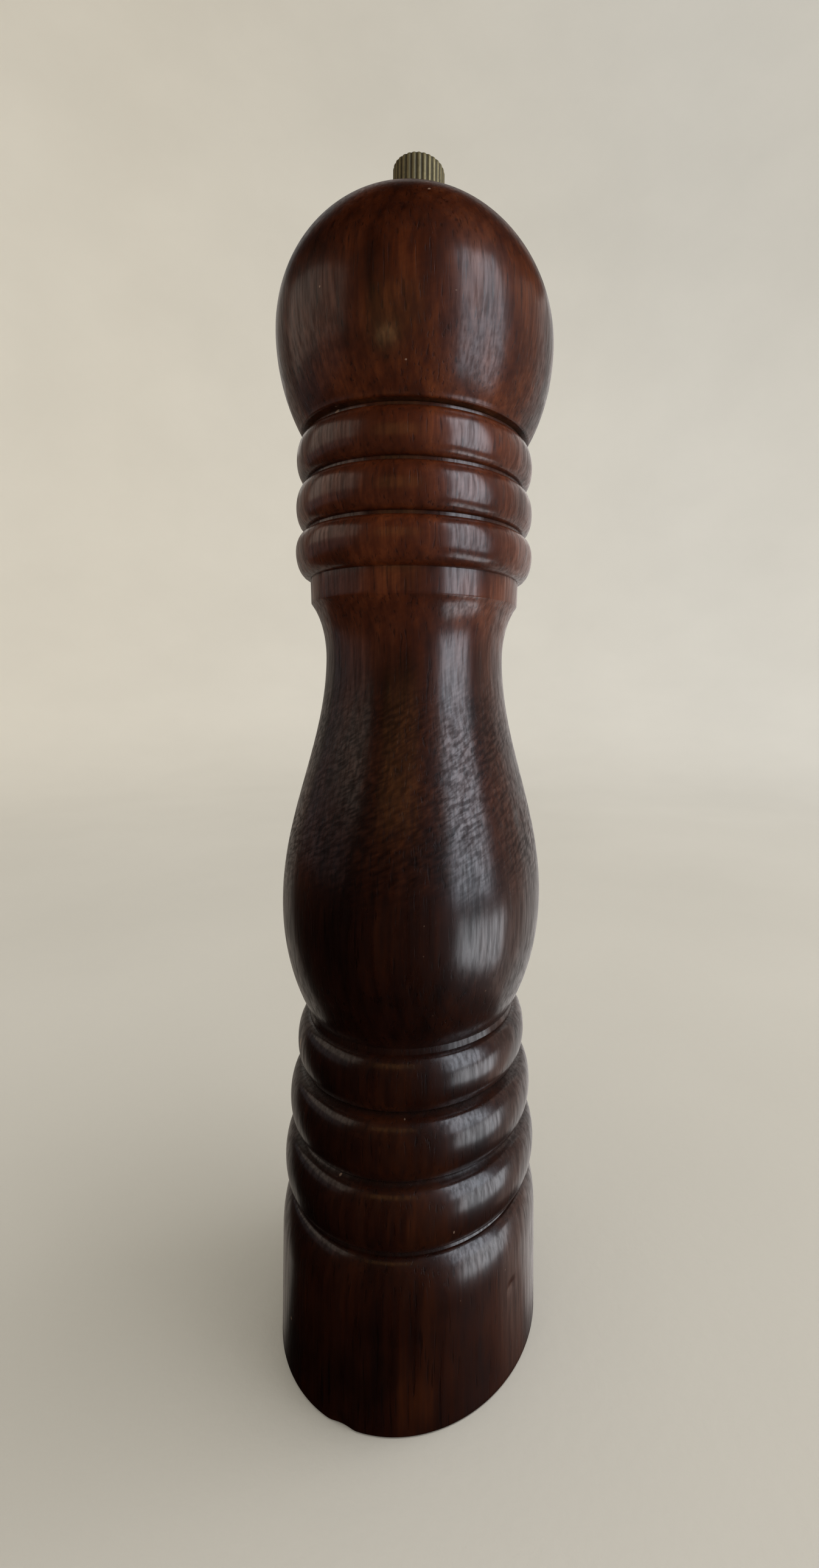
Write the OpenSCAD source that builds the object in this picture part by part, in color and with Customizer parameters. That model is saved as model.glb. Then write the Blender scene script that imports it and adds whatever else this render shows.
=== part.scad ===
// Turned wooden pepper mill, standing upright: +Z up, origin at the centre of the base, millimetres.
// The head turns the square drive shaft, which turns the male burr inside the female burr.
// The finial nut on the shaft's thread draws the male burr up for a finer grind.
// The head, with its drive plate, lifts off the shaft when the chamber is filled.

/* [Base] */
// Radius of the straight base
base_r = 27.2; // [26.6:0.1:27.8]
// Height at which the base's straight side ends
base_side_h = 21.5; // [20:0.5:22]
// Small round on the edge that the mill stands on
base_edge = 0.3; // [0.2:0.1:0.8]

/* [Lower beads] */
// Height of the groove under the lowest bead
lower_beads_z = 30.6; // [30.2:0.1:31]
// Heights of the three lower beads, lowest first
lower_bead_h = [11.5, 11.2, 10.4]; // [10:0.1:12]
// Peak radii of the three lower beads, lowest first
lower_bead_r = [26.85, 26.0, 24.65]; // [24:0.05:27]
// How far each lower bead stands out of its groove
lower_bead_out = 2.3; // [1.8:0.1:2.6]

/* [Belly and neck] */
// Widest radius of the belly
belly_r = 28.2; // [27.6:0.1:28.8]
// Height of the belly's widest point
belly_z = 90; // [88:0.5:92]
// Narrowest radius of the neck
neck_r = 19.7; // [19.2:0.1:20.4]
// Height of the neck's narrowest point
neck_z = 141; // [140:0.5:142]

/* [Collar and upper beads] */
// Height of the collar's lower edge
collar_z = 153; // [152.5:0.1:153.2]
// Radius of the collar's lower edge
collar_r = 23.0; // [22.9:0.05:23.2]
// Height of the groove under the upper beads
upper_beads_z = 158.4; // [158:0.1:158.8]
// Height of each upper bead
upper_bead_h = 9.8; // [9.5:0.1:9.9]
// Peak radius of the upper beads
upper_bead_r = 26.35; // [26:0.05:26.6]
// How far each upper bead stands out of its groove
upper_bead_out = 2.3; // [1.8:0.1:2.5]
// How much of the lowest upper bead's height lies under its peak
lowest_bead_peak = 0.6; // [0.5:0.02:0.64]
// Width of the small fillet at the bottom of each groove
fillet_w = 0.7; // [0.5:0.1:0.8]

/* [Head] */
// Widest radius of the head
head_r = 31.1; // [30.6:0.1:31.6]
// Height of the head's widest point
head_z = 212.5; // [211.5:0.5:213]
// Height of the dome above the head's widest point
dome_h = 31.4; // [31:0.1:31.8]
// Vertical half axis of the curve under the head's widest point
underside_h = 38.2; // [38:0.1:38.8]
// Gap between the head and the body
head_gap = 0.4; // [0.3:0.1:0.6]
// Radius of the spigot that centres the head in the body
spigot_r = 13.42; // [13.4:0.02:13.48]
// Length of the spigot
spigot_len = 14.3; // [12:0.1:15]

/* [Finial nut] */
// Radius over the finial nut's ribs
finial_r = 5.95; // [5.6:0.05:6.2]
// Height of the finial nut
finial_h = 11.2; // [10.4:0.1:11.4]
// Number of ribs around the finial nut
finial_ribs = 30; // [24:1:36]

/* [Bores in the wood] */
// Radius of the peppercorn chamber
chamber_r = 13.5; // [13.5:0.1:14]
// Radius of the seat of the grinding mechanism
mechanism_r = 16.5; // [16.4:0.1:16.8]
// Height of the top of the mechanism's seat
mechanism_top = 22; // [22:0.1:23]
// Radius of the recess in the base
recess_r = 22; // [21.5:0.1:22.5]
// Depth of the recess in the base
recess_depth = 6; // [5.8:0.1:6.2]

/* [Drive shaft] */
// Side of the square shaft
shaft_w = 5; // [4.8:0.1:5]
// Diameter of the threaded end
thread_d = 5; // [4.8:0.1:5]
// Length of the threaded end
thread_len = 13; // [12:0.5:14]
// Diameter of the pilot that turns in the crossbar
pilot_d = 4; // [3.8:0.1:4]

/* [Spring] */
// Mean radius of the spring's coils
spring_r = 4.75; // [4.6:0.05:4.9]
// Diameter of the spring's wire
spring_wire = 0.9; // [0.7:0.1:1]
// Number of turns
spring_turns = 6; // [5:1:7]

/* [Hidden] */
$fn = 96;
arc_steps = 14;
past = 1;             // how far a cutting shape runs past the face it cuts

wood_brown = [0.24, 0.10, 0.06];
dull_brass = [0.45, 0.38, 0.22];
bright_steel = [0.72, 0.72, 0.70];
dark_steel = [0.42, 0.42, 0.42];
white_nylon = [0.86, 0.85, 0.80];
red_fibre = [0.40, 0.12, 0.08];

// The grinding mechanism's stack, from the crossbar upwards
crossbar_t = 1.6;
crossbar_w = 10;
screw_circle_r = 19.2;
clip_t = 0.7;
clip_drop = 1.5;      // from the male burr's underside to the clip's underside
male_z = 9.5;
male_ring_h = 3.5;
male_h = 12;
male_top_z = male_z + male_h;
female_z = recess_depth;
bridge_t = 1;
bridge_w = 7;
bridge_eye_r = 7;     // round middle of the strap, which holds the bush
bridge_z = 36;        // underside of the bridge's strap
bush_r = 4.5;
bush_flange_r = 6;
bush_flange_t = 0.8;
bush_top = 0.6;       // how far the bush stands above the strap
female_h = mechanism_top - bridge_t - female_z;
spring_washer_t = 0.6;
thrust_t = clip_drop - clip_t;
running = 0.08;       // radial clearance of what turns in a hole
bush_z = bridge_z - running - bush_flange_t;
spring_z = male_top_z + spring_washer_t;
spring_len = bush_z - spring_washer_t - spring_z;
burr_teeth = 30;
burr_flutes = 7;

// The head and the shaft, from the spigot upwards
body_top = upper_beads_z + 3 * upper_bead_h + 3 * fillet_w;
head_bottom = body_top + head_gap;
spigot_z = head_bottom - spigot_len;
plate_t = 1.5;
plate_r = 12.5;
plate_screw_r = 8.5;  // from the axis to each of the plate's screws
head_bore_r = 3.8;
finial_seat_r = finial_r + 0.6;
finial_z = head_z + dome_h * sqrt(1 - pow(finial_seat_r / head_r, 2)) + 0.1;
finial_top = finial_z + finial_h;
finial_crown = 2.0;   // metal over the thread's end
shaft_top = finial_top - finial_crown - 1;
square_top = shaft_top - thread_len;
finial_washer_t = 0.6;
finial_washer_r = 5.2;

// Points [r, z] along an ellipse with centre [cr, cz], from angle a to angle b
function arc(cr, cz, rr, rz, a, b, steps = arc_steps) =
    [for (i = [0:steps]) let (t = a + (b - a) * i / steps) [cr + rr * cos(t), cz + rz * sin(t)]];

// A bead from height z to z + h, with its peak at radius r. It stands out by low_out over the groove under
// it and by out over the one above it, and share of its height lies under the peak.
function bead(z, h, r, low_out, out, share = 0.5) = concat(
    arc(r - low_out, z + h * share, low_out, h * share, -90, 0, arc_steps / 2),
    arc(r - out, z + h * share, out, h * (1 - share), 90 / (arc_steps / 2), 90, arc_steps / 2 - 1));

// Height of the underside of lower bead i
function lower_bead_z(i) = i == 0 ? lower_beads_z : lower_bead_z(i - 1) + lower_bead_h[i - 1] + fillet_w;

belly_bottom_z = lower_bead_z(3) + 0.4;
belly_bottom_r = lower_bead_r[2] - lower_bead_out - 0.2;

// The belly's lower half, the part of a tall ellipse that lies under its widest point
belly_low_rr = 26;
belly_low_rz = (belly_z - belly_bottom_z) / sin(acos((belly_bottom_r - belly_r + belly_low_rr) / belly_low_rr));
function belly_low() =
    arc(belly_r - belly_low_rr, belly_z, belly_low_rr, belly_low_rz,
        -asin((belly_z - belly_bottom_z) / belly_low_rz), 0, 24);

// The long curve from the belly to the neck is half a cosine wave
function belly_to_neck(steps = 36) =
    [for (i = [1:steps]) let (t = i / steps)
        [(belly_r + neck_r) / 2 + (belly_r - neck_r) / 2 * cos(180 * t), belly_z + (neck_z - belly_z) * t]];

// The cove under the collar
cove_rr = 7.4;
cove_rz = 14.5;
function cove() =
    [for (i = [1:12]) let (dz = (collar_z - neck_z) * i / 12)
        [neck_r + cove_rr * (1 - sqrt(1 - pow(dz / cove_rz, 2))), neck_z + dz]];

shoulder_out = 2.4;   // how far the base's rounded shoulder stands out of the groove above it
shoulder_h = lower_beads_z - fillet_w - base_side_h;
collar_rise = 0.2;    // the collar widens a little upwards

// The body's outside, from the base's edge up to the joint with the head
function body_outline() = concat(
    arc(base_r - base_edge, base_edge, base_edge, base_edge, -90, 0, 6),
    arc(base_r - shoulder_out, base_side_h, shoulder_out, shoulder_h, 0, 90),
    [for (i = [0:2])
        each bead(lower_bead_z(i), lower_bead_h[i], lower_bead_r[i], lower_bead_out, lower_bead_out)],
    belly_low(),
    belly_to_neck(),
    cove(),
    [[collar_r, collar_z + 0.1], [collar_r + collar_rise, upper_beads_z - fillet_w]],
    [for (i = [0:2])
        each bead(upper_beads_z + i * (upper_bead_h + fillet_w), upper_bead_h, upper_bead_r,
                  i == 0 ? upper_bead_r - collar_r - collar_rise : upper_bead_out, upper_bead_out,
                  i == 0 ? lowest_bead_peak : 0.5)],
    [[upper_bead_r - upper_bead_out, body_top]]);

module wood_screw_hole(r, h) {
    cylinder(r = r + 0.05, h = h);
    translate([0, 0, h]) cylinder(r1 = r + 0.05, r2 = 0.05, h = 2 * r);
}

// A wood screw driven upwards, with its head's flat underside at z = 0
module wood_screw(r, h, head_radius, head_h, slot_w) {
    color(bright_steel) difference() {
        union() {
            translate([0, 0, -head_h]) cylinder(r1 = head_radius * 0.75, r2 = head_radius, h = head_h * 0.4);
            translate([0, 0, -head_h * 0.6]) cylinder(r = head_radius, h = head_h * 0.6);
            cylinder(r = r, h = h);
            translate([0, 0, h]) cylinder(r1 = r, r2 = 0.05, h = 2 * r - 0.1);
        }
        translate([-head_radius - past, -slot_w / 2, -head_h - past])
            cube([2 * (head_radius + past), slot_w, head_h * 0.45 + past]);
    }
}

crossbar_screw_r = 1.5;
crossbar_screw_h = 12;     // from the crossbar's underside
plate_screw_radius = 1.2;
plate_screw_h = 9;         // from the plate's underside

module body() {
    color(wood_brown) difference() {
        rotate_extrude() polygon(concat([[0, 0]], body_outline(), [[0, body_top]]));
        translate([0, 0, -past]) cylinder(r = chamber_r, h = body_top + 2 * past);
        translate([0, 0, -past]) cylinder(r = mechanism_r, h = mechanism_top + past);
        translate([0, 0, -past]) cylinder(r = recess_r, h = recess_depth + past);
        // The mouth of the chamber is eased for the spigot
        translate([0, 0, body_top - 0.8]) cylinder(r1 = chamber_r, r2 = chamber_r + 0.8 + past, h = 0.8 + past);
        for (side = [-1, 1])
            translate([side * screw_circle_r, 0, recess_depth - crossbar_t])
                wood_screw_hole(crossbar_screw_r, crossbar_screw_h);
    }
}

// The head's outside, from the joint up to the seat of the finial nut
head_edge = 0.6;      // round on the head's lower edge
head_edge_r = head_r * sqrt(1 - pow((head_z - head_bottom - head_edge) / underside_h, 2));
function head_outline() = concat(
    arc(head_edge_r - head_edge, head_bottom + head_edge, head_edge, head_edge, -90, 0, 5),
    arc(0, head_z, head_r, underside_h, -asin((head_z - head_bottom - head_edge) / underside_h), 0, 28),
    arc(0, head_z, head_r, dome_h, 3, acos(finial_seat_r / head_r), 34));

module head() {
    color(wood_brown) difference() {
        rotate_extrude() polygon(concat(
            [[0, spigot_z], [spigot_r - 0.8, spigot_z], [spigot_r, spigot_z + 0.8], [spigot_r, head_bottom]],
            head_outline(),
            [[0, finial_z - 0.1]]));
        translate([0, 0, spigot_z - past]) cylinder(r = head_bore_r, h = finial_top);
        translate([0, 0, finial_z - finial_washer_t]) cylinder(r = finial_washer_r, h = finial_h);
        for (side = [-1, 1])
            translate([0, side * plate_screw_r, spigot_z - plate_t])
                wood_screw_hole(plate_screw_radius, plate_screw_h);
    }
}

rib_depth = 0.5;
module finial_nut() {
    color(dull_brass) difference() {
        rotate_extrude() polygon([[0, finial_z], [finial_r - 0.7, finial_z], [finial_r, finial_z + 0.7],
                                  [finial_r, finial_top - 0.9], [finial_r - 0.35, finial_top - 0.25],
                                  [finial_r - 1.1, finial_top], [0, finial_top]]);
        translate([0, 0, finial_z - past])
            cylinder(r = thread_d / 2 + running, h = finial_h - finial_crown + past);
        translate([0, 0, finial_z - past])
            cylinder(r1 = thread_d / 2 + 1 + past, r2 = thread_d / 2, h = 1 + past);
        for (i = [0:finial_ribs - 1]) rotate([0, 0, i * 360 / finial_ribs])
            translate([finial_r + 0.15, 0, finial_z - past]) rotate([0, 0, 45])
                translate([-rib_depth / 2, -rib_depth / 2, 0])
                    cube([rib_depth, rib_depth, finial_h + 2 * past]);
    }
}

// Let into the top of the head, so that the nut doesn't wear the wood
module finial_washer() {
    color(red_fibre) difference() {
        translate([0, 0, finial_z - finial_washer_t]) cylinder(r = finial_washer_r - 0.05, h = finial_washer_t);
        translate([0, 0, finial_z - finial_washer_t - past])
            cylinder(r = thread_d / 2 + 0.3, h = finial_washer_t + 2 * past);
    }
}

module drive_plate() {
    color(bright_steel) difference() {
        translate([0, 0, spigot_z - plate_t]) cylinder(r = plate_r, h = plate_t);
        translate([-shaft_w / 2 - 0.1, -shaft_w / 2 - 0.1, spigot_z - plate_t - past])
            cube([shaft_w + 0.2, shaft_w + 0.2, plate_t + 2 * past]);
        for (side = [-1, 1])
            translate([0, side * plate_screw_r, spigot_z - plate_t - past])
                cylinder(r = plate_screw_radius + 0.15, h = plate_t + 2 * past);
    }
}

module drive_plate_screws() {
    for (side = [-1, 1])
        translate([0, side * plate_screw_r, spigot_z - plate_t])
            wood_screw(plate_screw_radius, plate_screw_h, 2.3, 1.5, 0.6);
}

clip_groove_r = pilot_d / 2 - 0.35;
pilot_bottom = 3.2;
module drive_shaft() {
    color(bright_steel) difference() {
        union() {
            translate([-shaft_w / 2, -shaft_w / 2, male_z]) cube([shaft_w, shaft_w, square_top - male_z]);
            translate([0, 0, pilot_bottom + 0.4]) cylinder(d = pilot_d, h = male_z - pilot_bottom);
            translate([0, 0, pilot_bottom]) cylinder(d1 = pilot_d - 0.8, d2 = pilot_d, h = 0.4);
            translate([0, 0, square_top - 0.5]) cylinder(d = thread_d, h = thread_len);
            translate([0, 0, shaft_top - 0.5]) cylinder(d1 = thread_d, d2 = thread_d - 1, h = 0.5);
        }
        translate([0, 0, male_z - clip_drop]) difference() {
            cylinder(r = pilot_d, h = clip_t);
            translate([0, 0, -past]) cylinder(r = clip_groove_r, h = clip_t + 2 * past);
        }
    }
}

male_base_r = 12.4;
male_ring_r = 10.3;   // where the fine ring meets the coarse cone
male_tip_r = 5.2;
module male_burr() {
    color(dark_steel) difference() {
        rotate_extrude() polygon([[0, male_z], [male_base_r, male_z], [male_ring_r, male_z + male_ring_h],
                                  [male_tip_r, male_top_z - 1], [male_tip_r, male_top_z], [0, male_top_z]]);
        translate([-shaft_w / 2 - 0.05, -shaft_w / 2 - 0.05, male_z - past])
            cube([shaft_w + 0.1, shaft_w + 0.1, male_h + 2 * past]);
        // Fine teeth around the lower ring
        for (i = [0:burr_teeth - 1]) rotate([0, 0, i * 360 / burr_teeth])
            translate([(male_base_r + male_ring_r) / 2, 0, male_z + male_ring_h / 2]) rotate([0, -31, 0])
                rotate([18, 0, 0]) translate([0.35, 0, 0]) rotate([0, 0, 45])
                    cube([0.95, 0.95, 2 * male_ring_h], center = true);
        // Coarse flutes that feed the peppercorns down
        for (i = [0:burr_flutes - 1]) rotate([0, 0, i * 360 / burr_flutes])
            translate([8.3, 0, male_z + male_ring_h + 4]) rotate([0, -33, 0]) rotate([28, 0, 0])
                translate([0.5, 0, 0]) rotate([0, 0, 45]) cube([2.6, 2.6, 11], center = true);
    }
}

female_ring_r = 11;   // narrowest radius of the female burr
female_mouth_r = 13.2;
rivet_r = 0.9;
rivet_at = 14.8;      // from the axis to each rivet
rivet_depth = 4;      // how far the rivets stand in the female burr
module female_burr() {
    color(dark_steel) difference() {
        translate([0, 0, female_z]) cylinder(r = mechanism_r - 0.1, h = female_h);
        translate([0, 0, female_z - past]) cylinder(r = female_mouth_r, h = 3 + past);
        translate([0, 0, female_z + 3]) cylinder(r1 = female_mouth_r, r2 = female_ring_r, h = 4);
        translate([0, 0, female_z + 6]) cylinder(r = female_ring_r, h = female_h);
        translate([0, 0, female_z + female_h - 3])
            cylinder(r1 = female_ring_r, r2 = female_ring_r + 3, h = 4);
        for (side = [-1, 1]) translate([side * rivet_at, 0, mechanism_top - bridge_t - rivet_depth])
            cylinder(r = rivet_r + 0.05, h = rivet_depth + past);
        // Teeth down the inside, slightly raked
        for (i = [0:burr_teeth - 1]) rotate([0, 0, i * 360 / burr_teeth])
            translate([female_ring_r, 0, female_z + 7]) rotate([-12, 0, 0]) rotate([0, 0, 45])
                cube([1.3, 1.3, 10], center = true);
    }
}

bridge_leg_r = 12.9;  // outside of the bridge's legs
module bearing_bridge() {
    color(bright_steel) difference() {
        union() {
            translate([-bridge_leg_r, -bridge_w / 2, bridge_z])
                cube([2 * bridge_leg_r, bridge_w, bridge_t]);
            translate([0, 0, bridge_z]) cylinder(r = bridge_eye_r, h = bridge_t);
            for (turn = [0, 180]) rotate([0, 0, turn]) {
                translate([bridge_leg_r - bridge_t, -bridge_w / 2, mechanism_top - bridge_t])
                    cube([bridge_t, bridge_w, bridge_z - mechanism_top + 2 * bridge_t]);
                intersection() {
                    translate([bridge_leg_r - bridge_t, -bridge_w / 2, mechanism_top - bridge_t])
                        cube([6, bridge_w, bridge_t]);
                    cylinder(r = mechanism_r - 0.15, h = mechanism_top + past);
                }
            }
        }
        translate([0, 0, bridge_z - past]) cylinder(r = bush_r + running, h = bridge_t + 2 * past);
        for (side = [-1, 1]) translate([side * rivet_at, 0, mechanism_top - bridge_t - past])
            cylinder(r = rivet_r + 0.05, h = bridge_t + 2 * past);
    }
}

// Flush rivets that hold the bridge's feet to the female burr
module bridge_rivets() {
    color(bright_steel) for (side = [-1, 1])
        translate([side * rivet_at, 0, mechanism_top - bridge_t - rivet_depth + 0.05])
            cylinder(r = rivet_r, h = rivet_depth + bridge_t - 0.1);
}

// Turns in the bridge with the shaft, which slides through its square hole
module shaft_bush() {
    color(white_nylon) difference() {
        union() {
            translate([0, 0, bush_z]) cylinder(r = bush_flange_r, h = bush_flange_t);
            translate([0, 0, bush_z]) cylinder(r = bush_r, h = bridge_z + bridge_t + bush_top - bush_z);
        }
        translate([-shaft_w / 2 - 0.1, -shaft_w / 2 - 0.1, bush_z - past])
            cube([shaft_w + 0.2, shaft_w + 0.2, bush_flange_t + bridge_t + bush_top + 3 * past]);
    }
}

spring_sides = 8;
spring_steps = 14;    // rings in each turn
// Height of the wire's centre after a share t of the turns, with the end turns lying close
function spring_rise(t) =
    let (free = spring_len - spring_wire, dead = 0.9 / spring_turns,
         u = min(1, max(0, (t - dead) / (1 - 2 * dead))), close = spring_wire * 1.02 * 0.9)
    spring_z + spring_wire / 2 + close * min(1, t / dead) + close * max(0, (t - 1 + dead) / dead)
        + (free - 2 * close) * u;
function spring_ring(k, n) =
    let (t = k / n, turn = 360 * spring_turns * t, z = spring_rise(t))
    [for (j = [0:spring_sides - 1]) let (a = 360 * j / spring_sides, r = spring_r + spring_wire / 2 * cos(a))
        [r * cos(turn), r * sin(turn), z + spring_wire / 2 * sin(a)]];
module spring() {
    n = spring_turns * spring_steps;
    s = spring_sides;
    points = [for (k = [0:n]) each spring_ring(k, n)];
    walls = [for (k = [0:n - 1], j = [0:s - 1]) let (a = k * s + j, b = k * s + (j + 1) % s)
        each [[a, b + s, b], [a, a + s, b + s]]];
    ends = [for (j = [1:s - 2]) each [[0, j, j + 1], [n * s, n * s + j + 1, n * s + j]]];
    color(bright_steel) polyhedron(points, concat(walls, ends));
}

module washer(z, inner, outer, t) {
    color(bright_steel) difference() {
        translate([0, 0, z]) cylinder(r = outer, h = t);
        translate([0, 0, z - past]) cylinder(r = inner, h = t + 2 * past);
    }
}

washer_hole_r = shaft_w / sqrt(2) + 0.15;
module upper_spring_washer() washer(bush_z - spring_washer_t, washer_hole_r, 5.9, spring_washer_t);
module lower_spring_washer() washer(male_top_z, washer_hole_r, 5.9, spring_washer_t);
module thrust_washer() washer(male_z - thrust_t, pilot_d / 2 + 0.1, 5.2, thrust_t);

module shaft_clip() {
    color(dark_steel) difference() {
        translate([0, 0, male_z - clip_drop + 0.03]) cylinder(r = 4.1, h = clip_t - 0.06);
        translate([0, 0, male_z - clip_drop - past]) cylinder(r = clip_groove_r + 0.05, h = clip_t + 2 * past);
        translate([0, -clip_groove_r * 0.9, male_z - clip_drop - past])
            cube([6, 2 * clip_groove_r * 0.9, clip_t + 2 * past]);
        for (turn = [110, 250]) rotate([0, 0, turn])
            translate([3.1, 0, male_z - clip_drop - past]) cylinder(r = 0.9, h = clip_t + 2 * past);
    }
}

module crossbar() {
    color(bright_steel) difference() {
        intersection() {
            translate([-recess_r, -crossbar_w / 2, recess_depth - crossbar_t])
                cube([2 * recess_r, crossbar_w, crossbar_t]);
            cylinder(r = recess_r - 0.2, h = recess_depth);
        }
        translate([0, 0, recess_depth - crossbar_t - past])
            cylinder(d = pilot_d + 2 * running, h = crossbar_t + 2 * past);
        for (side = [-1, 1]) translate([side * screw_circle_r, 0, recess_depth - crossbar_t - past])
            cylinder(r = crossbar_screw_r + 0.1, h = crossbar_t + 2 * past);
    }
}

module crossbar_screws() {
    for (turn = [0, 180]) rotate([0, 0, turn])
        translate([screw_circle_r, 0, recess_depth - crossbar_t]) rotate([0, 0, 35])
            wood_screw(crossbar_screw_r, crossbar_screw_h, 2.7, 2, 0.8);
}

body();
head();
finial_nut();
finial_washer();
drive_plate();
drive_plate_screws();
drive_shaft();
male_burr();
female_burr();
bearing_bridge();
bridge_rivets();
shaft_bush();
spring();
upper_spring_washer();
lower_spring_washer();
thrust_washer();
shaft_clip();
crossbar();
crossbar_screws();
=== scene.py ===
"""A turned wooden pepper mill with a brass finial nut, standing on a pale floor. Metres, +Z up."""

import math
import random

import bmesh
import bpy
import numpy as np
from mathutils import Matrix, Vector


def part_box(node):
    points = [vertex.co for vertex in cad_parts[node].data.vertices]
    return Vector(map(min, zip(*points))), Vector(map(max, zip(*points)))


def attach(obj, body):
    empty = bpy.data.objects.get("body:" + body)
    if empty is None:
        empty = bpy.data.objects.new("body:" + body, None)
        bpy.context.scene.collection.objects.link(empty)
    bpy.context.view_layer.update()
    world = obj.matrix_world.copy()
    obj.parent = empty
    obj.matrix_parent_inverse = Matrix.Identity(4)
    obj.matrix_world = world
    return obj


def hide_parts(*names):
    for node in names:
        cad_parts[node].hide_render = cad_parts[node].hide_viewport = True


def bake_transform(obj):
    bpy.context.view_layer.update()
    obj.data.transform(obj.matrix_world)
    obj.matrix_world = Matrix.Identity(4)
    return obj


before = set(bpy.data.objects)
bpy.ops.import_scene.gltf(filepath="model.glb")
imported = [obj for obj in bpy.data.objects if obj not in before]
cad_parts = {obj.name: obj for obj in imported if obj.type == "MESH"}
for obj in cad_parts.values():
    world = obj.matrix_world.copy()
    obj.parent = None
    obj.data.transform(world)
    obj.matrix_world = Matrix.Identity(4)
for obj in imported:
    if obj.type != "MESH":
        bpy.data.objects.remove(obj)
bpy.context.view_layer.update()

MM = 0.001


# ---------------------------------------------------------------- camera, lights and world

CAMERA_AT = Vector((0.0, -0.1459, 0.1359))
CAMERA_FORWARD = Vector((0.10394, 0.99432, 0.02300))
CAMERA_UP = Vector((-0.00741, -0.02236, 0.99972))
LENS, SENSOR = 14.65, 36.0
LENS_SHIFT = (-0.0462, -0.0738)


def make_camera():
    data = bpy.data.cameras.new("camera")
    camera = bpy.data.objects.new("camera", data)
    bpy.context.scene.collection.objects.link(camera)
    backward = -CAMERA_FORWARD.normalized()
    right = CAMERA_UP.cross(backward).normalized()
    up = backward.cross(right)
    turned = Matrix((right, up, backward)).transposed().to_4x4()
    camera.matrix_world = Matrix.Translation(CAMERA_AT) @ turned
    data.lens = LENS
    data.sensor_width = SENSOR
    data.shift_x, data.shift_y = LENS_SHIFT
    data.clip_start = 0.01
    data.clip_end = 20.0
    bpy.context.scene.camera = camera


def area_light(name, at, target, width, height, watts, colour):
    data = bpy.data.lights.new(name, "AREA")
    data.shape = "RECTANGLE"
    data.size = width
    data.size_y = height
    data.energy = watts
    data.color = colour
    light = bpy.data.objects.new(name, data)
    bpy.context.scene.collection.objects.link(light)
    light.location = at
    light.rotation_euler = (Vector(target) - Vector(at)).to_track_quat("-Z", "Y").to_euler()
    light.visible_camera = False
    return light


def around(azimuth, distance, height):
    """A point at an azimuth in degrees to the right of the camera's side, seen from the mill."""
    a = math.radians(azimuth)
    return Vector((distance * math.sin(a), -distance * math.cos(a), height))


def panel(name, azimuth, distance, z_low, z_high, width, radiance, colour):
    """An upright soft light facing the mill. Its watts follow from the radiance that the lacquer sees."""
    height = z_high - z_low
    at = around(azimuth, distance, (z_low + z_high) / 2)
    watts = radiance * math.pi * width * height
    return area_light(name, at, (0, 0, at.z), width, height, watts, colour)


def make_lights(floor):
    """A room of soft panels that only the mill sees, and an overhead light for the floor and its shadow.

    Returns the collection of pieces that the warm lamp lights, which is still empty.
    """
    overhead = area_light("overhead", (0.45, -0.10, 1.0), (0, 0, 0.05), 0.6, 0.6, 5.0, (1.0, 0.97, 0.93))
    overhead.visible_glossy = False
    # Name, azimuth, distance, lower and upper edge, width, radiance and colour
    panels = [
        panel("window", 50, 0.70, -0.02, 0.95, 0.46, 5.2, (0.84, 0.90, 1.0)),
        panel("low_sheet", 60, 0.27, -0.11, 0.012, 0.22, 4.6, (0.92, 0.95, 1.0)),
        panel("amber_room", -16, 0.42, 0.20, 0.38, 0.30, 0.42, (1.0, 0.52, 0.18)),
        panel("left_high", -85, 0.80, 0.29, 0.80, 0.95, 0.76, (1.0, 0.84, 0.70)),
        panel("left_low", -90, 0.80, 0.03, 0.29, 0.95, 0.15, (0.92, 0.92, 1.0)),
        panel("right", 100, 0.85, -0.80, 0.90, 0.50, 0.55, (1.0, 0.74, 0.64)),
        panel("wall_right", 140, 0.95, -0.90, 0.90, 1.00, 0.74, (1.0, 0.94, 0.90)),
        panel("wall_left", -150, 0.95, -0.90, 0.90, 0.90, 0.26, (1.0, 0.88, 0.74)),
        panel("wall_back", 180, 1.10, 0.60, 2.00, 1.60, 0.42, (1.0, 0.96, 0.90)),
    ]
    unlit = bpy.data.collections.new("not_lit_by_panels")
    unlit.objects.link(floor)
    unlit.collection_objects[0].light_linking.link_state = "EXCLUDE"
    for light in panels:
        light.light_linking.receiver_collection = unlit
    lamp = panel("lamp", -22, 0.36, 0.165, 0.205, 0.09, 3.4, (1.0, 0.64, 0.28))
    lamp.light_linking.receiver_collection = bpy.data.collections.new("lit_by_lamp")
    return lamp.light_linking.receiver_collection


def make_world():
    world = bpy.data.worlds.new("studio")
    world.use_nodes = True
    background = world.node_tree.nodes["Background"]
    background.inputs["Color"].default_value = (0.80, 0.78, 0.74, 1.0)
    background.inputs["Strength"].default_value = 0.10
    bpy.context.scene.world = world
    world.cycles_visibility.glossy = False
    bpy.context.scene.view_settings.view_transform = "Standard"


# ---------------------------------------------------------------- meshes

# A ring this small stands for a point on the axis
PINPOINT_R = 0.02 * MM


def new_object(name, verts, faces, smooth_angle=None):
    mesh = bpy.data.meshes.new(name)
    mesh.from_pydata([tuple(v) for v in verts], [], [tuple(f) for f in faces])
    mesh.validate()
    mesh.update()
    piece = bpy.data.objects.new(name, mesh)
    bpy.context.scene.collection.objects.link(piece)
    if smooth_angle is not None:
        mesh.shade_smooth()
        mesh.set_sharp_from_angle(angle=math.radians(smooth_angle))
    return piece


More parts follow.
